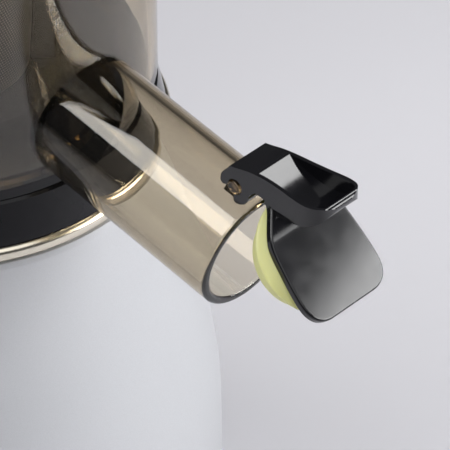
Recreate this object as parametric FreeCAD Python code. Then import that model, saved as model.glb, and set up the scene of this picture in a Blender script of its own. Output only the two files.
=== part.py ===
import FreeCAD, Part
import math
import os

# Vertical slow juicer, millimetres.  Origin on the bowl axis at the worktop, +Z up, juice spout towards -Y.
V = FreeCAD.Vector
os.makedirs("parts", exist_ok=True)

# ---- driving dimensions -------------------------------------------------------------------------
RING_Z = 195.0                 # plane of the trim ring's lower edge
RING_R = 75.5
FLOOR_TOP = 7.0
SHELL_WALL = 3.0
SHELL_BULGE = 92.2

COLLAR_TOP = RING_Z + 22.0
BOWL_Z = RING_Z + 27.0         # lower edge of the clear wall
BOWL_TOP = 345.0
BOWL_R = 71.0
BOWL_WALL = 3.0
BOWL_FLOOR = RING_Z + 23.0
FOOT_R = 63.4

SPOUT_RISE = RING_Z + 53.7     # height of the spout's centre line at the bowl axis
SPOUT_SLOPE = math.radians(9.165)
SPOUT_LENGTH = 144.9           # bowl axis to mouth, along the centre line
SPOUT_R = 21.0
SPOUT_BORE = 18.0

PIN_BACK = 4.9                 # cap pin behind the mouth plane
PIN_RISE = 29.0                # cap pin above the spout's centre line
PIN_R = 2.4
CAP_HANG = math.radians(44.0)  # paddle direction at rest, below horizontal
CAP_HALF = 7.75
CAP_WIDE = 9.3
PADDLE_HALF = 16.8
PADDLE_FACE = 11.9             # outer face of the paddle, from the pin
PADDLE_T = 2.4
PADDLE_END = 48.3
SEAL_R = 19.3
SEAL_DROP = 28.4               # seal centre below the pin, along the paddle

MESH_Z0 = 226.0
MESH_Z1 = 332.0
MESH_R0 = 28.6
MESH_R1 = 36.0
MESH_T = 0.6

WIPER_M = 1.25
SUN_Z = 18
IDLER_Z = 12
RING_GEAR_Z = 42
IDLER_X = WIPER_M * (SUN_Z + IDLER_Z) / 2

DRIVE_M = 1.25
PINION_Z = 12
WHEEL_Z = 48
LAY_X = DRIVE_M * (PINION_Z + WHEEL_Z) / 2

CHUTE_Y = 29.0
CHUTE_R = 19.0
TOTAL_Z = 445.0


# ---- helpers ------------------------------------------------------------------------------------
def cyl(r, z0, z1, x=0.0, y=0.0):
    return Part.makeCylinder(r, z1 - z0, V(x, y, z0))


def tube(ro, ri, z0, z1, x=0.0, y=0.0):
    return cyl(ro, z0, z1, x, y).cut(cyl(ri, z0 - 1, z1 + 1, x, y))


def box(x0, x1, y0, y1, z0, z1):
    return Part.makeBox(x1 - x0, y1 - y0, z1 - z0, V(x0, y0, z0))


def turned(points):
    """Solid of revolution about Z from a closed (radius, z) outline."""
    pts = [V(r, 0, z) for r, z in points]
    face = Part.Face(Part.makePolygon(pts + [pts[0]]))
    return face.revolve(V(0, 0, 0), V(0, 0, 1), 360)


def fused(shapes):
    first = shapes[0]
    return first.multiFuse(shapes[1:]).removeSplitter() if len(shapes) > 1 else first


def spun(shape, angle_deg, centre=V(0, 0, 0)):
    copy = shape.copy()
    copy.rotate(centre, V(0, 0, 1), angle_deg)
    return copy


def ring_of(shape, count, start_deg=0.0):
    return [spun(shape, start_deg + 360.0 * i / count) for i in range(count)]


def save(name, shape):
    solids = shape.Solids
    out = solids[0] if len(solids) == 1 else Part.makeCompound(solids)
    out.exportStep("parts/" + name + ".step")


def spline(points):
    curve = Part.BSplineCurve()
    curve.interpolate(points)
    return curve.toShape()


def is_circle(edge):
    return edge.Curve.TypeId.endswith("Circle")


def fillet_where(shape, radius, test):
    edges = [e for e in shape.Edges if test(e)]
    return shape.makeFillet(radius, edges)


def sector(r0, r1, half_deg, z0, z1, mid_deg):
    """Block of an annulus spanning +-half_deg about mid_deg."""
    wedge = [V(0, 0, z0)]
    for s in (-1.0, 0.0, 1.0):
        a = math.radians(mid_deg + s * half_deg)
        reach = r1 * 1.6
        wedge.append(V(reach * math.cos(a), reach * math.sin(a), z0))
    face = Part.Face(Part.makePolygon(wedge + [wedge[0]]))
    return tube(r1, r0, z0, z1).common(face.extrude(V(0, 0, z1 - z0)))


# ---- gears --------------------------------------------------------------------------------------
def gear_outline(teeth, module, addendum, dedendum, slack, phase_deg):
    """Closed polygon of an involute gear, one tooth centred on phase_deg."""
    pitch_r = module * teeth / 2
    base_r = pitch_r * math.cos(math.radians(20))
    tip_r = pitch_r + addendum
    root_r = pitch_r - dedendum
    half_pitch = math.pi / (2 * teeth) - slack / (2 * pitch_r)

    def inv(r):
        a = math.acos(min(1.0, base_r / r))
        return math.tan(a) - a

    radii = [max(base_r, root_r) + (tip_r - max(base_r, root_r)) * k / 3 for k in range(4)]
    flank = [(r, half_pitch + inv(pitch_r) - inv(r)) for r in radii]
    if root_r < base_r:
        flank.insert(0, (root_r, flank[0][1]))
    pts = []
    for i in range(teeth):
        mid = math.radians(phase_deg) + 2 * math.pi * i / teeth
        for r, half in flank:
            pts.append(V(r * math.cos(mid - half), r * math.sin(mid - half), 0))
        for r, half in reversed(flank):
            pts.append(V(r * math.cos(mid + half), r * math.sin(mid + half), 0))
    return pts


def gear_solid(teeth, module, z0, z1, phase_deg, x=0.0, addendum=0.9, dedendum=1.15, slack=0.16):
    pts = gear_outline(teeth, module, addendum * module, dedendum * module, slack, phase_deg)
    face = Part.Face(Part.makePolygon(pts + [pts[0]]))
    solid = face.extrude(V(0, 0, z1 - z0))
    solid.translate(V(x, 0, z0))
    return solid


# ---- spout and cap frames -----------------------------------------------------------------------
SPOUT_DIR = V(0, -math.cos(SPOUT_SLOPE), -math.sin(SPOUT_SLOPE))
SPOUT_UP = V(0, -math.sin(SPOUT_SLOPE), math.cos(SPOUT_SLOPE))


def on_spout(along, rise=0.0, x=0.0):
    return V(x, 0, SPOUT_RISE) + SPOUT_DIR * along + SPOUT_UP * rise


def rod(r, from_l, to_l):
    return Part.makeCylinder(r, to_l - from_l, on_spout(from_l), SPOUT_DIR)


PIN = on_spout(SPOUT_LENGTH - PIN_BACK, PIN_RISE)
CAP_DOWN = V(0, -math.cos(CAP_HANG), -math.sin(CAP_HANG))
CAP_OUT = V(0, -math.sin(CAP_HANG), math.cos(CAP_HANG))


def at_pin(y, z, x=0.0):
    return PIN + V(x, y, z)


def on_paddle(x, t, n):
    return PIN + V(x, 0, 0) + CAP_DOWN * t + CAP_OUT * n


# ---- base: housing ------------------------------------------------------------------------------
def flare():
    """Outer (radius, z) points of the base shell's curved lower part."""
    return [(86.5, 4), (90.0, 10), (91.9, 22), (SHELL_BULGE, 43), (92.0, 70), (91.4, 84), (89.9, 96),
            (88.1, 108)]


def base_shell():
    low = [V(r, 0, z) for r, z in flare()]
    high_r = RING_R + 0.2
    outer = spline(low)
    straight = Part.makeLine(low[-1], V(high_r, 0, RING_Z - 2))
    lip = Part.makePolygon([V(high_r, 0, RING_Z - 2), V(high_r - 0.6, 0, RING_Z), V(62, 0, RING_Z),
                            V(62, 0, RING_Z - 4), V(high_r - 4, 0, RING_Z - 4)])
    inner_low = [V(p.x - SHELL_WALL, 0, p.z) for p in reversed(low)]
    back = Part.makeLine(V(high_r - 4, 0, RING_Z - 4), inner_low[0])
    inner = spline(inner_low)
    foot = Part.makeLine(inner_low[-1], low[0])
    wire = Part.Wire([outer, straight] + lip.Edges + [back, inner, foot])
    shell = Part.Face(wire).revolve(V(0, 0, 0), V(0, 0, 1), 360)
    switch_hole = box(80, 100, -11, 11, 50, 80)
    cord_hole = Part.makeCylinder(6.0, 20, V(0, 80, 30), V(0, 1, 0))
    return shell.cut(switch_hole).cut(cord_hole)


def trim_ring():
    ring = turned([(70.9, RING_Z + 0.05), (RING_R, RING_Z + 0.05), (RING_R, RING_Z + 6), (70.9, RING_Z + 6)])
    return fillet_where(ring, 2.6, lambda e: is_circle(e) and e.BoundBox.XMax > RING_R - 0.01)


def drive_deck():
    z = RING_Z
    deck = turned([(9.2, z + 0.1), (70.6, z + 0.1), (70.6, z + 6.3), (73.9, z + 6.3), (73.5, z + 8.5),
                   (70.9, COLLAR_TOP - 1.0), (70.0, COLLAR_TOP - 0.3), (67.0, COLLAR_TOP - 0.3),
                   (67.0, z + 4), (13, z + 4), (13, z + 7.4), (9.2, z + 7.4)])
    carrier = tube(15, 11.02, z - 9, z + 0.1)
    deck = deck.fuse(carrier)
    deck = deck.cut(rod(SPOUT_R + 0.5, 55, 100))
    deck = deck.cut(box(-90, -50, -17, 17, z + 7, 260))
    return deck


def base_floor():
    plate = cyl(83.0, 4.0, FLOOR_TOP)
    slots = [box(-20, 20, 30 + 8 * k, 33 + 8 * k, 3, 8) for k in range(3)]
    vents = fused([spun(s, a) for s in slots for a in (0, 180)])
    holes = fused(ring_of(cyl(2.1, 3, 8, 70), 4, 45))
    return plate.cut(vents).cut(holes)


def rubber_feet():
    foot = fillet_where(cyl(9.0, 0.0, 4.0, 62), 0.8, lambda e: e.BoundBox.ZMax < 0.1)
    middle = foot.copy()
    middle.translate(V(-62, 0, 0))
    return Part.makeCompound(ring_of(foot, 4, 0) + [middle])


def floor_screws():
    screw = cyl(3.6, 2.4, 4.0, 70).fuse(cyl(2.0, 4.0, 12.0, 70))
    return Part.makeCompound(ring_of(screw.removeSplitter(), 4, 45))


# ---- base: motor and gearbox --------------------------------------------------------------------
def motor_frame():
    plate = cyl(14, 12, 18).fuse(fused(ring_of(box(0, 48, -5, 5, 12, 16), 4, 45)))
    posts = ring_of(cyl(4.0, FLOOR_TOP, 100.0, 46), 4, 45)
    return fused([plate] + posts).cut(cyl(9.02, 11, 19))


def motor_stator():
    core = tube(40, 24.4, 42, 86)
    slots = ring_of(box(24, 33, -2.2, 2.2, 41, 87), 12)
    ears = ring_of(box(38, 50, -6, 6, 60, 68), 4, 45)
    body = fused([core] + ears).cut(fused(slots))
    return body.cut(fused(ring_of(cyl(4.02, 50, 80, 46), 4, 45)))


def motor_windings():
    low = turned([(25.4, 33), (36.5, 33), (36.5, 41.9), (25.4, 41.9)])
    high = turned([(25.4, 86.1), (36.5, 86.1), (36.5, 95), (25.4, 95)])
    return Part.makeCompound([low, high])


def motor_bearings():
    return Part.makeCompound([tube(9.0, 4.03, 12.2, 18), tube(9.0, 4.03, 100.5, 104)])


def motor_rotor():
    body = cyl(23.8, 43, 85).fuse(cyl(4.0, 12.5, 121.0))
    return body.fuse(cyl(7.0, 30, 92)).removeSplitter()


def motor_pinion():
    pinion = gear_solid(PINION_Z, DRIVE_M, 108, 120, 0)
    return pinion.cut(cyl(4.01, 100, 125))


def cooling_fan():
    hub = cyl(10, 20, 28)
    blades = ring_of(box(8, 30, -1.0, 1.0, 20.5, 27.5), 9)
    disc = tube(30, 9, 27, 28.2)
    return fused([hub, disc] + blades).cut(cyl(4.01, 10, 40))


def gearbox_outline(radius, z0, z1):
    bar = box(0, LAY_X, -radius, radius, z0, z1)
    return fused([cyl(radius, z0, z1), cyl(radius, z0, z1, LAY_X), bar])


def gearbox_ears(z0, z1):
    spots = [(-28, 28), (-28, -28), (LAY_X + 24, 28), (LAY_X + 24, -28)]
    return [cyl(5.5, z0, z1, x, y) for x, y in spots], spots


def gearbox_housing():
    ears, spots = gearbox_ears(100.2, 145.9)
    wall = fused([gearbox_outline(35.5, 100.2, 145.9)] + ears)
    wall = wall.cut(gearbox_outline(32.5, 104, 150))
    for x, y in spots:
        wall = wall.cut(cyl(2.05, 130, 150, x, y))
    wall = wall.cut(cyl(9.02, 99, 104.5))
    return wall.cut(cyl(3.03, 102, 106, LAY_X))


def gearbox_lid():
    ears, spots = gearbox_ears(146.0, 150.0)
    lid = fused([gearbox_outline(35.5, 146.0, 150.0), cyl(15, 149, 156)] + ears)
    for x, y in spots:
        lid = lid.cut(cyl(2.05, 140, 155, x, y))
    lid = lid.cut(cyl(11.02, 145, 157))
    return lid.cut(cyl(3.03, 145, 148, LAY_X))


def gearbox_screws():
    spots = gearbox_ears(0, 1)[1]
    return Part.makeCompound([cyl(3.8, 150, 153, x, y).fuse(cyl(2.0, 134, 150, x, y)).removeSplitter()
                              for x, y in spots])


def lay_shaft():
    return cyl(3.0, 102.2, 147.8, LAY_X)


def lay_wheel():
    wheel = gear_solid(WHEEL_Z, DRIVE_M, 109, 119, 180.0 / WHEEL_Z, LAY_X)
    wheel = wheel.fuse(cyl(7, 119, 123.5, LAY_X)).cut(cyl(3.01, 100, 130, LAY_X))
    holes = [cyl(5, 108, 120, LAY_X + 17 * math.cos(a), 17 * math.sin(a))
             for a in (math.radians(60 * k + 30) for k in range(6))]
    return wheel.cut(fused(holes))


def lay_pinion():
    pinion = gear_solid(PINION_Z, DRIVE_M, 123.6, 139, 15.0, LAY_X)
    return pinion.cut(cyl(3.01, 120, 142, LAY_X))


def output_gear():
    gear = gear_solid(WHEEL_Z, DRIVE_M, 125, 137, 0)
    gear = gear.fuse(cyl(11, 137, 142)).cut(cyl(6.02, 120, 145))
    holes = [cyl(5.5, 124, 138, 18 * math.cos(a), 18 * math.sin(a))
             for a in (math.radians(60 * k + 30) for k in range(6))]
    return gear.cut(fused(holes))


def hexagon(across_flats, z0, z1):
    r = across_flats / math.sqrt(3)
    pts = [V(r * math.cos(math.radians(60 * k)), r * math.sin(math.radians(60 * k)), z0) for k in range(7)]
    return Part.Face(Part.makePolygon(pts)).extrude(V(0, 0, z1 - z0))


def drive_shaft():
    return cyl(6.0, 123.5, RING_Z + 13).fuse(hexagon(9.6, RING_Z + 13, 246)).removeSplitter()


def output_bearings():
    return Part.makeCompound([tube(11, 6.03, 147, 155), tube(11, 6.03, RING_Z - 8, RING_Z)])


def shaft_seal():
    z = RING_Z
    return turned([(6.04, z + 3.6), (9.2, z + 1.6), (9.2, z + 7.2), (7.6, z + 7.2), (7.6, z + 6.0), (6.04, z + 4.8)])


# ---- base: electrics ----------------------------------------------------------------------------
def control_board():
    board = box(-32, 32, 66, 67.6, FLOOR_TOP, 66)
    parts = [cyl(7, 0, 22).copy(), box(-26, -10, 55, 66, 40, 56), box(16, 28, 58, 66, 14, 34)]
    parts[0].translate(V(4, 59.3, 30))
    rows = [box(-26 + 7 * k, -22 + 7 * k, 63, 66, 16, 22) for k in range(5)]
    return fused([board] + parts + rows)


def switch_bezel():
    flange = box(92.3, 93.8, -13, 13, 48, 82)
    body = box(80, 92.3, -10.8, 10.8, 50.2, 79.8)
    bezel = flange.fuse(body).removeSplitter()
    bezel = fillet_where(bezel, 0.8, lambda e: all(abs(v.Point.x - 93.8) < 0.01 for v in e.Vertexes))
    bezel = bezel.cut(box(82, 100, -8.2, 8.2, 52, 78))
    return bezel.cut(rocker_axle(1.55, 10.3))


def rocker_axle(radius, half):
    return Part.makeCylinder(radius, 2 * half, V(88, -half, 65), V(0, 1, 0))


def power_rocker():
    pts = [(85.0, -9), (95.5, -12), (94.2, 0), (96.2, 12), (85.0, 9)]
    wire = [V(x, -7.8, 65 + z) for x, z in pts]
    key = Part.Face(Part.makePolygon(wire + [wire[0]])).extrude(V(0, 15.6, 0))
    return key.fuse(rocker_axle(1.5, 10.0)).removeSplitter()


def cord_gland():
    out = V(0, 1, 0)
    body = Part.makeCylinder(5.9, 14, V(0, 80, 30), out)
    flange = Part.makeCylinder(9.0, 3.0, V(0, 91.9, 30), out)
    tail = Part.makeCone(5.5, 4.6, 8, V(0, 94.9, 30), out)
    gland = fused([body, flange, tail])
    return gland.cut(Part.makeCylinder(3.4, 40, V(0, 70, 30), out))


def bowl_sensor():
    return box(38, 56, -4, 4, RING_Z - 12, RING_Z).cut(box(44, 50, -5, 5, RING_Z - 13, RING_Z - 9))


# ---- bowl ---------------------------------------------------------------------------------------
def bowl_inside():
    return turned([(0, BOWL_FLOOR), (60.4, BOWL_FLOOR), (60.4, BOWL_Z + 3.5), (BOWL_R - BOWL_WALL, BOWL_Z + 3.5),
                   (BOWL_R - BOWL_WALL + 0.6, BOWL_TOP + 1), (0, BOWL_TOP + 1)])


def pulp_duct():
    """Outer and inner solids of the pulp path: down through the floor, then out towards -X."""
    outer = [box(-64, -11, -16, 16, RING_Z + 8, BOWL_FLOOR - 3), box(-104, -42.3, -16, 16, RING_Z + 8, 229)]
    outer.append(sector(13.1, 24.6, 34, BOWL_FLOOR - 3, 222.7, 180))
    inner = [box(-60, -13, -14, 14, RING_Z + 9.6, BOWL_FLOOR - 4.5), box(-105, -44, -14, 14, RING_Z + 9.6, 227.4)]
    inner.append(sector(14.3, 23.4, 29, RING_Z + 9.6, 223, 180))
    return fused(outer), fused(inner)


def juicing_bowl():
    body = turned([(6.7, BOWL_FLOOR - 6), (9, BOWL_FLOOR - 6), (9, BOWL_FLOOR - 4), (FOOT_R, BOWL_FLOOR - 4),
                   (FOOT_R, BOWL_Z), (BOWL_R, BOWL_Z), (BOWL_R + 0.6, BOWL_TOP), (6.7, BOWL_TOP)])
    shelf = turned([(6.7, BOWL_FLOOR), (8.2, BOWL_FLOOR), (8.2, BOWL_FLOOR + 3.6), (6.7, BOWL_FLOOR + 3.6)])
    body = body.cut(bowl_inside()).fuse(shelf)
    tube_solid = spout_tube().cut(bowl_inside())
    duct_outer, duct_inner = pulp_duct()
    duct = duct_outer.cut(cyl(9.1, 190, 240))
    body = fused([body, tube_solid, duct])
    body = body.cut(rod(SPOUT_BORE, 45, SPOUT_LENGTH + 5)).cut(duct_inner)
    body = body.cut(cyl(6.7, 190, BOWL_FLOOR + 10))
    web = spout_hinge()
    lugs = [sector(BOWL_R - 0.5, BOWL_R + 1.9, 7, 338, 340.5, a) for a in (30, 150, 270)]
    return fused([body, web] + lugs)


def spout_tube():
    """Round spout with rounded lips at the mouth."""
    spout = rod(SPOUT_R, 55, SPOUT_LENGTH).cut(rod(SPOUT_BORE, 95, SPOUT_LENGTH + 1))
    mouth = on_spout(SPOUT_LENGTH)

    def lip(radius):
        return lambda e: is_circle(e) and e.Curve.Center.distanceToPoint(mouth) < 0.1 and \
            abs(e.Curve.Radius - radius) < 0.1

    spout = fillet_where(spout, 1.2, lip(SPOUT_R))
    return fillet_where(spout, 1.0, lip(SPOUT_BORE))


def spout_hinge():
    """Web on the spout's crown carrying the cap pin."""
    mid = SPOUT_LENGTH - PIN_BACK
    corners = [(mid - 7.0, SPOUT_R - 1.2), (mid + 2, SPOUT_R - 1.2), (mid + 3, PIN_RISE), (mid - 4, PIN_RISE)]
    pts = [on_spout(a, h, -4.4) for a, h in corners]
    web = Part.Face(Part.makePolygon(pts + [pts[0]])).extrude(V(8.8, 0, 0))
    top = Part.makeCylinder(4.0, 8.8, on_spout(mid, PIN_RISE, -4.4), V(1, 0, 0))
    half = CAP_HALF + 0.7
    pin = Part.makeCylinder(PIN_R, 2 * half, on_spout(mid, PIN_RISE, -half), V(1, 0, 0))
    pin = fillet_where(pin, 0.4, is_circle)
    return fused([web, top, pin])


def bowl_foot():
    foot = turned([(FOOT_R + 0.03, RING_Z + 9), (66.5, RING_Z + 9), (66.5, COLLAR_TOP), (70.0, COLLAR_TOP),
                   (70.5, BOWL_Z - 0.02), (FOOT_R + 0.03, BOWL_Z - 0.02)])
    foot = foot.cut(rod(SPOUT_R + 0.05, 50, 100))
    return foot.cut(box(-90, -50, -16.05, 16.05, 190, 260))


def bowl_seal():
    return turned([(5.9, BOWL_FLOOR - 5.9), (6.68, BOWL_FLOOR - 5.9), (6.68, BOWL_FLOOR + 3), (6.1, BOWL_FLOOR + 3)])


def idler_pin():
    return cyl(2.0, BOWL_FLOOR + 0.02, BOWL_FLOOR + 4.8, IDLER_X)


# ---- strainer, auger, wiper ---------------------------------------------------------------------
def mesh_r(z):
    return MESH_R0 + (MESH_R1 - MESH_R0) * (z - MESH_Z0) / (MESH_Z1 - MESH_Z0)


def cone_wall(z0, z1, inset_out, inset_in):
    return turned([(mesh_r(z0) - inset_in, z0), (mesh_r(z0) - inset_out, z0),
                   (mesh_r(z1) - inset_out, z1), (mesh_r(z1) - inset_in, z1)])


def strainer_mesh():
    return cone_wall(MESH_Z0 + 0.05, MESH_Z1 - 0.05, 0.0, MESH_T)


def strainer_frame():
    cone = cone_wall(MESH_Z0 - 0.5, MESH_Z1 + 0.5, MESH_T + 0.02, MESH_T + 1.9)
    windows = []
    for z0, z1 in ((240, 268), (272, 300), (304, MESH_Z1 - 4)):
        windows += ring_of(box(20, 42, -10.0, 10.0, z0, z1), 8, 22.5)
    windows += ring_of(box(20, 42, -10.0, 10.0, MESH_Z0 + 1.5, 236), 8, 22.5)
    cone = cone.cut(fused(windows))
    bottom = tube(MESH_R0 - 0.1, 10.2, 223.2, MESH_Z0).cut(sector(14.3, 23.6, 29, 220, 230, 180))
    funnel = turned([(mesh_r(MESH_Z1) - 2.5, MESH_Z1), (mesh_r(MESH_Z1) + 0.5, MESH_Z1), (66.5, 338.5),
                     (68.2, 338.5), (68.2, 341), (66.0, 341)])
    return fused([cone, bottom, funnel])


def auger():
    lower = turned([(8.6, BOWL_FLOOR + 4.5), (9.8, BOWL_FLOOR + 4.5), (9.8, MESH_Z0 + 0.6), (17, MESH_Z0 + 2.5),
                    (15.5, 250), (10, 322), (8.6, 334), (5.0, 338), (5.0, 352), (0, 353), (0, 252), (8.0, 252),
                    (8.0, BOWL_FLOOR + 4.5)])
    gear = gear_solid(SUN_Z, WIPER_M, BOWL_FLOOR + 0.4, BOWL_FLOOR + 4.6, 0)
    gear = gear.cut(cyl(8.6, 200, BOWL_FLOOR + 4.2)).cut(cyl(8.0, 200, 240))
    return fused([lower, gear, auger_flight()])


def auger_flight():
    pitch = 30.0
    start = MESH_Z0 + 3.5
    height = 3.25 * pitch
    helix = Part.makeLongHelix(pitch, height, 20.0, 0, False)
    helix.translate(V(0, 0, start))
    pts = [V(7, 0, start - 3.2), V(40, 0, start - 1.6), V(40, 0, start + 1.6), V(7, 0, start + 3.2)]
    profile = Part.makePolygon(pts + [pts[0]])
    sweep = Part.Wire(helix.Edges).makePipeShell([profile], True, True)
    envelope = turned([(0, MESH_Z0 + 0.6), (mesh_r(MESH_Z0) - 3.0, MESH_Z0 + 0.6),
                       (mesh_r(328) - 3.0, 328), (0, 330)])
    return sweep.common(envelope).cut(cyl(8.0, 200, 252))


def auger_socket():
    body = cyl(7.98, BOWL_FLOOR + 5, 251.9)
    return body.cut(hexagon(10.2, 190, 247))


def idler_gear():
    gear = gear_solid(IDLER_Z, WIPER_M, BOWL_FLOOR + 0.4, BOWL_FLOOR + 4.4, 15.0, IDLER_X)
    return gear.cut(cyl(2.05, 200, 240, IDLER_X))


def wiper_cage():
    z0 = BOWL_FLOOR + 0.4
    blank = cyl(31.0, z0, z0 + 4.2)
    cutter = gear_solid(RING_GEAR_Z, WIPER_M, z0 - 1, z0 + 6, 180.0 / RING_GEAR_Z,
                        addendum=1.15, dedendum=0.85, slack=-0.16)
    ring = blank.cut(cutter)
    skirt = tube(40.5, 29.4, z0 + 4.2, z0 + 6.6)
    posts = [sector(37.3, 40.5, 7, z0 + 5, 330, a) for a in (45, 135, 225, 315)]
    hoops = [tube(40.5, 37.3, 280, 283), tube(40.5, 37.3, 326, 330)]
    return fused([ring, skirt] + posts + hoops)


def wiper_blades():
    low = BOWL_FLOOR + 7.1
    pts = [V(mesh_r(low) + 0.4, -0.7, low), V(37.28, -0.7, low), V(37.28, -0.7, 324),
           V(mesh_r(324) + 0.4, -0.7, 324)]
    blade = Part.Face(Part.makePolygon(pts + [pts[0]])).extrude(V(0, 1.4, 0))
    return Part.makeCompound(ring_of(blade, 4, 45))


# ---- lid and pusher -----------------------------------------------------------------------------
def lid():
    dome = turned([(72.9, 333), (74.6, 333), (74.6, 346), (73.2, 349.5), (69, 352.2), (60, 354.5), (35, 356.5),
                   (0, 357), (0, 353.5), (34, 353), (58, 351.2), (66.4, 349), (66.4, BOWL_TOP + 0.4),
                   (72.9, BOWL_TOP + 0.4)])
    boss = cyl(9.0, 343, 354)
    chute = cyl(CHUTE_R + 3, 350, 426, 0, CHUTE_Y)
    collar = cyl(CHUTE_R + 7, 420, 426, 0, CHUTE_Y)
    tabs = [sector(71.9, 73.5, 7, 333.5, 337, a) for a in (30, 150, 270)]
    body = fused([dome, boss, chute, collar] + tabs)
    body = body.cut(cyl(CHUTE_R, 340, 430, 0, CHUTE_Y)).cut(cyl(5.06, 340, 353.4))
    return body.cut(tube(71.3, 68.9, BOWL_TOP - 1, BOWL_TOP + 1.4))


def lid_gasket():
    return tube(71.28, 68.92, BOWL_TOP + 0.3, BOWL_TOP + 1.38)


def pusher():
    stem = cyl(CHUTE_R - 0.4, 362, 430, 0, CHUTE_Y).cut(cyl(CHUTE_R - 3.0, 365, 450, 0, CHUTE_Y))
    knob = cyl(CHUTE_R + 7, 426.4, TOTAL_Z, 0, CHUTE_Y)
    knob = knob.makeFillet(4, [e for e in knob.Edges if e.BoundBox.ZMin > TOTAL_Z - 0.1])
    knob = knob.cut(cyl(CHUTE_R - 3.0, 425, TOTAL_Z - 3, 0, CHUTE_Y))
    return fused([stem, knob])


# ---- juice cap ----------------------------------------------------------------------------------
def cap_prism(points, half):
    pts = [at_pin(y, z, -half) for y, z in points]
    return Part.Face(Part.makePolygon(pts + [pts[0]])).extrude(V(2 * half, 0, 0))


def cap_curved(segments, half):
    """Prism along X from consecutive point runs; runs of three or more points are splined."""
    edges = []
    for run in segments:
        pts = [at_pin(y, z, -half) for y, z in run]
        edges.append(spline(pts) if len(pts) > 2 else Part.makeLine(pts[0], pts[1]))
    return Part.Face(Part.Wire(edges)).extrude(V(2 * half, 0, 0))


def cap_plan(inset):
    """Column inside the lever's plan outline: parallel at the back, wider with a round front."""
    half = [(-2.0, CAP_HALF), (-9.0, 7.8), (-18.0, 8.3), (-27.0, CAP_WIDE), (-32.5, 9.3), (-35.6, 8.0), (-37.2, 4.6)]
    nose_y = -37.5 + inset
    right = [at_pin(max(y, nose_y + 0.25), -10, x - inset) for y, x in half]
    left = [V(-p.x, p.y, p.z) for p in reversed(right)]
    side = spline(right + [at_pin(nose_y, -10)] + left)
    return Part.Face(Part.Wire([side, Part.makeLine(left[-1], right[0])])).extrude(V(0, 0, 50))


def cap_lever():
    """Thumb lever: flat top, rounded lip and curved belly."""
    top = [(-2.0, 8.0), (-9.0, 9.6), (-20.0, 10.4), (-35.0, 11.8)]
    lip = [(-35.0, 11.8), (-37.2, 11.0), (-37.0, 8.6)]
    belly = [(-37.0, 8.6), (-33.8, 5.2), (-28.0, 2.2), (-21.0, 0.2), (-15.6, -2.0)]
    rear = [(-15.6, -2.0), (-12.6, 2.2)]
    throat = [(-12.6, 2.2), (-2.0, 3.0)]
    back = [(-2.0, 3.0), (-2.0, 8.0)]
    return cap_curved([top, lip, belly, rear, throat, back], CAP_WIDE + 2).common(cap_plan(0.0))


def cap_scoop():
    """Hollow for the thumb, inside thin side rims."""
    floor = [(-8.6, 9.8), (-14.0, 7.6), (-20.0, 5.6), (-26.0, 4.8), (-31.0, 6.0), (-34.6, 9.0), (-36.0, 11.9)]
    over = [(-36.0, 11.9), (-36.0, 20.0)]
    lid_line = [(-36.0, 20.0), (-8.6, 20.0)]
    rear = [(-8.6, 20.0), (-8.6, 9.8)]
    return cap_curved([floor, over, lid_line, rear], CAP_WIDE + 2).common(cap_plan(1.3))


def cap_clip():
    """Cheeks that snap over the pin, with the gap facing back and down."""
    arm = cap_prism([(2.2, 6.9), (-2.5, 8.1), (-9.0, 9.4), (-13.6, 2.0), (-8.6, 2.4), (-5.0, -1.0), (5.0, 2.5)],
                    CAP_HALF)
    eye = Part.makeCylinder(6.0, 2 * CAP_HALF, at_pin(0, 0, -CAP_HALF), V(1, 0, 0))
    clip = fused([arm, eye])
    clip = clip.cut(Part.makeCylinder(6.5, 9.6, at_pin(0, 0, -4.8), V(1, 0, 0)))
    clip = clip.cut(Part.makeCylinder(PIN_R + 0.35, 40, at_pin(0, 0, -20), V(1, 0, 0)))
    upper, lower = math.radians(-16), math.radians(-84)
    gap = [(0.0, 0.0), (20 * math.cos(upper), 20 * math.sin(upper)), (20, -20),
           (20 * math.cos(lower), 20 * math.sin(lower))]
    clip = clip.cut(cap_prism(gap, 20))

    def hook_corner(edge):
        if len(edge.Vertexes) < 2 or abs(edge.Vertexes[0].Point.x - edge.Vertexes[1].Point.x) < 1.0:
            return False
        arm_r = math.hypot(edge.Vertexes[0].Point.y - PIN.y, edge.Vertexes[0].Point.z - PIN.z)
        return abs(arm_r - 6.0) < 0.02 and edge.Vertexes[0].Point.z < PIN.z

    return fillet_where(clip, 1.2, hook_corner)


def cap_paddle():
    half = PADDLE_HALF
    t0, t1 = 8.0, PADDLE_END
    side = [(7.7, t0), (8.2, 10.0), (9.9, 12.6), (12.7, 16.3), (14.9, 20.0), (15.8, 24.0), (16.2, 28.0),
            (half - 0.2, 33.0), (half, 38.0), (half - 0.2, 41.8), (half - 1.1, 44.6), (half - 2.7, 46.6),
            (half - 4.9, 47.8), (half - 7.6, t1)]
    right = [on_paddle(x, t, PADDLE_FACE) for x, t in side]
    left = [on_paddle(-x, t, PADDLE_FACE) for x, t in side]
    end = Part.makeLine(right[-1], left[-1])
    top = Part.makeLine(left[0], right[0])
    outline = Part.Wire(Part.__sortEdges__([spline(right), end, spline(left), top]))
    plate = Part.Face(outline).extrude(CAP_OUT * -PADDLE_T)

    def outer_rim(edge):
        depths = [v.Point.sub(PIN).dot(CAP_OUT) for v in edge.Vertexes]
        drops = [v.Point.sub(PIN).dot(CAP_DOWN) for v in edge.Vertexes]
        return min(depths) > PADDLE_FACE - 0.05 and max(drops) > t0 + 1.0

    return fillet_where(plate, 0.8, outer_rim)


def juice_cap():
    whole = fused([cap_lever(), cap_clip(), cap_paddle()])
    return whole.cut(cap_scoop()).cut(Part.makeCylinder(6.5, 9.6, at_pin(0, 0, -4.8), V(1, 0, 0)))


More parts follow.
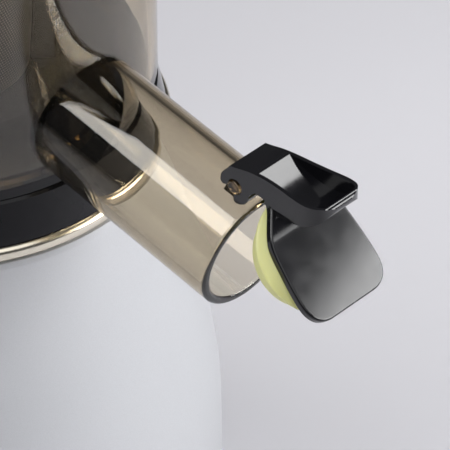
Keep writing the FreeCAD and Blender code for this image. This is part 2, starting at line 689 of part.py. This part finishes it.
def cap_seal():
    """Lipped silicone disc with a domed plug, turned about the paddle's normal."""
    back = PADDLE_FACE - PADDLE_T
    front = 5.2
    lip = [(15.2, back), (SEAL_R - 0.5, front + 1.9), (SEAL_R, front + 1.4), (SEAL_R, front + 0.8),
           (SEAL_R - 0.8, front)]
    plug = [(16.9, front), (16.6, 3.0), (16.1, 1.2), (15.9, -1.0), (15.4, -2.4), (14.4, -3.3), (12.6, -3.7),
            (0, -3.9)]
    pts = [(0, back)] + lip + plug
    wire = [on_paddle(r, SEAL_DROP, n) for r, n in pts]
    face = Part.Face(Part.makePolygon(wire + [wire[0]]))
    return face.revolve(on_paddle(0, SEAL_DROP, 0), CAP_OUT, 360)


NODES = [
    base_shell, trim_ring, drive_deck, base_floor, rubber_feet, floor_screws,
    motor_frame, motor_stator, motor_windings, motor_bearings, motor_rotor, motor_pinion, cooling_fan,
    gearbox_housing, gearbox_lid, gearbox_screws, lay_shaft, lay_wheel, lay_pinion,
    output_gear, drive_shaft, output_bearings, shaft_seal,
    control_board, switch_bezel, power_rocker, cord_gland, bowl_sensor,
    juicing_bowl, bowl_foot, bowl_seal, idler_pin, strainer_mesh, strainer_frame,
    auger, auger_socket, idler_gear, wiper_cage, wiper_blades,
    lid, lid_gasket, pusher, juice_cap, cap_seal,
]

for make in NODES:
    save(make.__name__, make())
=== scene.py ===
import math

import bpy
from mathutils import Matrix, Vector

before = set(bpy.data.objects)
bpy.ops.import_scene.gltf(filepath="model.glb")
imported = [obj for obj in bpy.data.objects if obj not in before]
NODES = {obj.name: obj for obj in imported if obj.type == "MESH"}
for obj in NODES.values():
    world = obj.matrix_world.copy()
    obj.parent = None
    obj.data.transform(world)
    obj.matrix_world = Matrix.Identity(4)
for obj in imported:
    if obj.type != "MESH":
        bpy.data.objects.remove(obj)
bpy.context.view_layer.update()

# ---- camera ---------------------------------------------------------------------------------------
CAMERA_AZIMUTH = math.radians(-45.32)
CAMERA_ELEVATION = math.radians(40.0)
CAMERA_DISTANCE = 1.1
CAMERA_AIM = Vector((0.0502, -0.0815, 0.1693))
CAMERA_LENS = 260.8
CAMERA_SENSOR = 36.0
CAMERA_NEAR = 0.05
CAMERA_FAR = 30.0

# ---- floor, sky and lights ------------------------------------------------------------------------
FLOOR_SIZE = 8.0
FLOOR_COLOUR = (0.645, 0.64, 0.675)
SKY_TOP = (0.12, 0.12, 0.125)
SKY_LOW = (0.08, 0.08, 0.082)
SKY_TOP_AT = 0.9
SKY_LOW_AT = 0.05
SKY_STRENGTH = 1.0

SPOUT_TOP = (-0.012, -0.110, 0.248)
PADDLE_MIDDLE = (0.0, -0.175, 0.242)
LEVER_TOP = (0.0, -0.160, 0.262)
MACHINE = (0.0, -0.1, 0.1)

# name, place, aim, width, height, power
SOFTBOXES = [
    ("diffuse", (-0.6, -1.3, 1.9), MACHINE, 1.7, 1.7, 13.0),
    ("key", (-1.00, 0.62, 1.95), SPOUT_TOP, 1.3, 1.1, 26.0),
    ("wall", (0.466, -0.697, 0.441), PADDLE_MIDDLE, 0.6, 0.4, 8.0),
    ("dish", (0.93, -0.30, 1.64), LEVER_TOP, 0.34, 0.26, 3.0),
]

# ---- colours, linear ------------------------------------------------------------------------------
PEARL = (0.50, 0.51, 0.53)
CHAMPAGNE = (0.68, 0.63, 0.53)
GLOSS_BLACK = (0.006, 0.006, 0.0075)
MATT_BLACK = (0.028, 0.028, 0.030)
RUBBER_BLACK = (0.02, 0.02, 0.02)
SMOKE_FACE = (0.95, 0.94, 0.91)
SMOKE_BODY = (0.554, 0.396, 0.085)
SILICONE_YELLOW = (0.80, 0.80, 0.36)
SILICONE_DEPTH = (1.0, 0.9, 0.4)
STEEL = (0.60, 0.60, 0.59)
CORE_STEEL = (0.30, 0.30, 0.32)
COPPER = (0.72, 0.34, 0.16)
NYLON = (0.78, 0.75, 0.66)
HOUSING_GREY = (0.10, 0.105, 0.115)
BOARD_GREEN = (0.03, 0.16, 0.06)
MESH_METAL = (0.018, 0.017, 0.015)
# painted light: the colour of the light seen through the strainer's holes
MESH_HOLE_PAINTED_LIGHT = (0.20, 0.175, 0.14)

# ---- surface detail -------------------------------------------------------------------------------
SMOKE_DENSITY = 130.0
PAINTED_SHADE_SPECULAR = 0.2          # weaker reflections, painted shade for the blacks inside and under the bowl
NOISE_DETAIL = 4.0
MOTTLE_DARK_AT = 0.3
MOTTLE_LIGHT_AT = 0.7
EVEN = (1.0, 1.0, 1.0)
LAMINATED = (1.0, 1.0, 8.0)
WOUND = (1.0, 1.0, 10.0)
SHARP_ANGLE = math.radians(32)

MESH_PITCH = 0.0011
MESH_RADIUS = 0.032          # radius where the holes of a row are one pitch apart
MESH_HOLE_SIZE = 0.30        # hole radius over pitch


# ---- materials ------------------------------------------------------------------------------------
class Shader:
    """A Principled material with helpers for its procedural detail."""

    def __init__(self, name, colour, roughness, **sockets):
        self.mat = bpy.data.materials.new(name)
        self.mat.use_nodes = True
        self.tree = self.mat.node_tree
        self.bsdf = self.tree.nodes["Principled BSDF"]
        self.bsdf.inputs["Base Color"].default_value = (*colour, 1.0)
        self.bsdf.inputs["Roughness"].default_value = roughness
        for key, value in sockets.items():
            self.bsdf.inputs[key.replace("_", " ")].default_value = value

    def add(self, kind, **inputs):
        node = self.tree.nodes.new(kind)
        for key, value in inputs.items():
            node.inputs[key.replace("_", " ")].default_value = value
        return node

    def link(self, out, into):
        self.tree.links.new(out, into)

    def coordinates(self):
        return self.add("ShaderNodeTexCoord").outputs["Object"]

    def noise(self, scale, stretch):
        mapping = self.add("ShaderNodeMapping", Scale=stretch)
        self.link(self.coordinates(), mapping.inputs["Vector"])
        node = self.add("ShaderNodeTexNoise", Scale=scale, Detail=NOISE_DETAIL)
        self.link(mapping.outputs["Vector"], node.inputs["Vector"])
        return node.outputs["Fac"]

    def vary_roughness(self, scale, low, high, stretch=EVEN):
        node = self.add("ShaderNodeMapRange")
        node.inputs["To Min"].default_value = low
        node.inputs["To Max"].default_value = high
        self.link(self.noise(scale, stretch), node.inputs["Value"])
        self.link(node.outputs["Result"], self.bsdf.inputs["Roughness"])

    def vary_colour(self, scale, dark, light, stretch=EVEN):
        node = self.add("ShaderNodeValToRGB")
        low, high = node.color_ramp.elements
        low.position = MOTTLE_DARK_AT
        low.color = (*dark, 1.0)
        high.position = MOTTLE_LIGHT_AT
        high.color = (*light, 1.0)
        self.link(self.noise(scale, stretch), node.inputs["Fac"])
        self.link(node.outputs["Color"], self.bsdf.inputs["Base Color"])

    def bump(self, scale, distance, strength):
        node = self.add("ShaderNodeBump", Strength=strength, Distance=distance)
        self.link(self.noise(scale, EVEN), node.inputs["Height"])
        self.link(node.outputs["Normal"], self.bsdf.inputs["Normal"])


def tinted(colour, amount):
    return tuple(c * amount for c in colour)


def pearl_shell():
    s = Shader("pearl_shell", PEARL, 0.36, Metallic=0.25, Coat_Weight=0.25, Coat_Roughness=0.18)
    s.vary_colour(2600.0, tinted(PEARL, 0.96), tinted(PEARL, 1.04))
    s.vary_roughness(900.0, 0.32, 0.40)
    s.bump(1800.0, 0.00003, 0.12)
    return s.mat


def champagne_metal():
    s = Shader("champagne_metal", CHAMPAGNE, 0.22, Metallic=1.0)
    s.vary_colour(300.0, tinted(CHAMPAGNE, 0.95), CHAMPAGNE)
    s.vary_roughness(700.0, 0.18, 0.27)
    return s.mat


def gloss_black(name="gloss_black", specular=0.5):
    s = Shader(name, GLOSS_BLACK, 0.10, Specular_IOR_Level=specular)
    s.vary_colour(60.0, tinted(GLOSS_BLACK, 0.8), tinted(GLOSS_BLACK, 1.3))
    s.vary_roughness(220.0, 0.07, 0.14)
    s.bump(140.0, 0.00008, 0.06)
    return s.mat


def satin_black(name="satin_black", colour=MATT_BLACK, low=0.42, high=0.58):
    s = Shader(name, colour, 0.5)
    s.vary_colour(500.0, tinted(colour, 0.8), tinted(colour, 1.25))
    s.vary_roughness(400.0, low, high)
    s.bump(2400.0, 0.00006, 0.25)
    return s.mat


def smoke_clear():
    """Clear plastic that gets browner with the length of plastic the light goes through."""
    s = Shader("smoke_clear", SMOKE_FACE, 0.02, Transmission_Weight=1.0, IOR=1.50,
               Specular_IOR_Level=0.38)
    s.vary_roughness(30.0, 0.0, 0.02)
    body = s.add("ShaderNodeVolumeAbsorption", Color=(*SMOKE_BODY, 1.0), Density=SMOKE_DENSITY)
    s.link(body.outputs["Volume"], s.tree.nodes["Material Output"].inputs["Volume"])
    return s.mat


def silicone(name, colour):
    s = Shader(name, colour, 0.42, Subsurface_Weight=0.35, Subsurface_Scale=0.004,
               Subsurface_Radius=SILICONE_DEPTH)
    s.vary_colour(90.0, tinted(colour, 0.95), tinted(colour, 1.03))
    s.vary_roughness(260.0, 0.36, 0.48)
    s.bump(900.0, 0.00004, 0.15)
    return s.mat


def metal(name, colour, low, high, stretch=EVEN):
    s = Shader(name, colour, 0.3, Metallic=1.0)
    s.vary_colour(400.0, tinted(colour, 0.9), tinted(colour, 1.05), stretch)
    s.vary_roughness(600.0, low, high, stretch)
    return s.mat


def moulded(name, colour, low=0.38, high=0.52):
    s = Shader(name, colour, 0.45)
    s.vary_colour(250.0, tinted(colour, 0.94), tinted(colour, 1.05))
    s.vary_roughness(350.0, low, high)
    s.bump(1500.0, 0.00005, 0.2)
    return s.mat


def perforated_steel():
    """Rows of round holes about the Z axis, drawn as dots of painted light, for the light seen through
    the holes, on dark metal.
    """
    s = Shader("perforated_steel", STEEL, 0.35, Metallic=0.3)

    def maths(kind, a, b=None):
        node = s.add("ShaderNodeMath")
        node.operation = kind
        for socket, value in zip(node.inputs, (a, b)):
            if value is None:
                continue
            if isinstance(value, (int, float)):
                socket.default_value = value
            else:
                s.link(value, socket)
        return node.outputs[0]

    split = s.add("ShaderNodeSeparateXYZ")
    s.link(s.coordinates(), split.inputs[0])
    x, y, z = split.outputs
    around = maths("MULTIPLY", maths("ARCTAN2", y, x), MESH_RADIUS / MESH_PITCH)
    rise = maths("DIVIDE", z, MESH_PITCH)
    row = maths("FLOOR", rise)
    shifted = maths("ADD", around, maths("MULTIPLY", maths("MODULO", row, 2.0), 0.5))
    u = maths("SUBTRACT", maths("FRACT", shifted), 0.5)
    v = maths("SUBTRACT", maths("FRACT", rise), 0.5)
    off = maths("SQRT", maths("ADD", maths("MULTIPLY", u, u), maths("MULTIPLY", v, v)))
    hole = maths("LESS_THAN", off, MESH_HOLE_SIZE)
    mix = s.add("ShaderNodeMix")
    mix.data_type = "RGBA"
    mix.inputs["A"].default_value = (*MESH_METAL, 1.0)
    # the holes get painted light, standing in for the light seen through them
    mix.inputs["B"].default_value = (*MESH_HOLE_PAINTED_LIGHT, 1.0)
    s.link(hole, mix.inputs["Factor"])
    s.link(mix.outputs["Result"], s.bsdf.inputs["Base Color"])
    return s.mat


def dress(mat, *names):
    for name in names:
        mesh = NODES[name].data
        mesh.materials.clear()
        mesh.materials.append(mat)


def dress_all():
    dress(pearl_shell(), "base_shell")
    dress(champagne_metal(), "trim_ring")
    dress(gloss_black(), "lid", "pusher", "juice_cap", "power_rocker")
    # painted shade: a copy of gloss black with weaker reflections for the parts inside and under the
    # bowl
    dress(gloss_black("painted_shade_black", PAINTED_SHADE_SPECULAR),
          "drive_deck", "bowl_foot", "strainer_frame", "wiper_cage")
    dress(satin_black(),
          "base_floor", "switch_bezel", "cord_gland", "cooling_fan", "bowl_sensor", "auger")
    dress(satin_black("black_rubber", RUBBER_BLACK, 0.6, 0.8),
          "rubber_feet", "shaft_seal", "wiper_blades")
    dress(smoke_clear(), "juicing_bowl")
    dress(silicone("yellow_silicone", SILICONE_YELLOW), "cap_seal", "bowl_seal", "lid_gasket")
    dress(perforated_steel(), "strainer_mesh")
    dress(metal("ground_steel", STEEL, 0.2, 0.35),
          "drive_shaft", "lay_shaft", "motor_rotor", "motor_pinion", "lay_pinion", "motor_bearings",
          "output_bearings", "auger_socket", "idler_pin", "idler_gear", "floor_screws", "gearbox_screws")
    dress(metal("core_steel", CORE_STEEL, 0.35, 0.55, LAMINATED), "motor_stator", "motor_frame")
    dress(metal("copper_wire", COPPER, 0.25, 0.45, WOUND), "motor_windings")
    dress(moulded("nylon", NYLON), "lay_wheel", "output_gear")
    dress(moulded("grey_housing", HOUSING_GREY), "gearbox_housing", "gearbox_lid")
    dress(moulded("circuit_board", BOARD_GREEN, 0.25, 0.4), "control_board")


def smooth_all():
    for node in NODES.values():
        mesh = node.data
        mesh.polygons.foreach_set("use_smooth", [True] * len(mesh.polygons))
        mesh.set_sharp_from_angle(angle=SHARP_ANGLE)


# ---- stage ----------------------------------------------------------------------------------------
def floor():
    bpy.ops.mesh.primitive_plane_add(size=FLOOR_SIZE)
    plane = bpy.context.object
    plane.name = "floor"
    s = Shader("floor_paper", FLOOR_COLOUR, 0.9)
    s.vary_colour(3.0, tinted(FLOOR_COLOUR, 0.995), FLOOR_COLOUR)
    plane.data.materials.append(s.mat)


def sky():
    """A plain studio sky that gets a little lighter upwards."""
    world = bpy.data.worlds.new("studio")
    bpy.context.scene.world = world
    world.use_nodes = True
    tree = world.node_tree
    back = tree.nodes["Background"]
    coords = tree.nodes.new("ShaderNodeTexCoord")
    split = tree.nodes.new("ShaderNodeSeparateXYZ")
    ramp = tree.nodes.new("ShaderNodeValToRGB")
    low, high = ramp.color_ramp.elements
    low.position = SKY_LOW_AT
    low.color = (*SKY_LOW, 1.0)
    high.position = SKY_TOP_AT
    high.color = (*SKY_TOP, 1.0)
    tree.links.new(coords.outputs["Generated"], split.inputs[0])
    tree.links.new(split.outputs["Z"], ramp.inputs["Fac"])
    tree.links.new(ramp.outputs["Color"], back.inputs["Color"])
    back.inputs["Strength"].default_value = SKY_STRENGTH


def softbox(name, place, aim, width, height, power):
    data = bpy.data.lights.new(name, "AREA")
    data.shape = "RECTANGLE"
    data.size = width
    data.size_y = height
    data.energy = power
    lamp = bpy.data.objects.new(name, data)
    bpy.context.scene.collection.objects.link(lamp)
    lamp.location = place
    lamp.rotation_euler = (Vector(aim) - Vector(place)).to_track_quat("-Z", "Y").to_euler()


def camera():
    flat = math.cos(CAMERA_ELEVATION)
    back = Vector((math.sin(CAMERA_AZIMUTH) * flat,
                   -math.cos(CAMERA_AZIMUTH) * flat,
                   math.sin(CAMERA_ELEVATION)))
    data = bpy.data.cameras.new("camera")
    data.lens = CAMERA_LENS
    data.sensor_width = CAMERA_SENSOR
    data.clip_start = CAMERA_NEAR
    data.clip_end = CAMERA_FAR
    cam = bpy.data.objects.new("camera", data)
    bpy.context.scene.collection.objects.link(cam)
    cam.location = CAMERA_AIM + back * CAMERA_DISTANCE
    cam.rotation_euler = (-back).to_track_quat("-Z", "Y").to_euler()
    bpy.context.scene.camera = cam


bpy.context.scene.view_settings.view_transform = "Standard"
dress_all()
smooth_all()
floor()
sky()
for box in SOFTBOXES:
    softbox(*box)
camera()
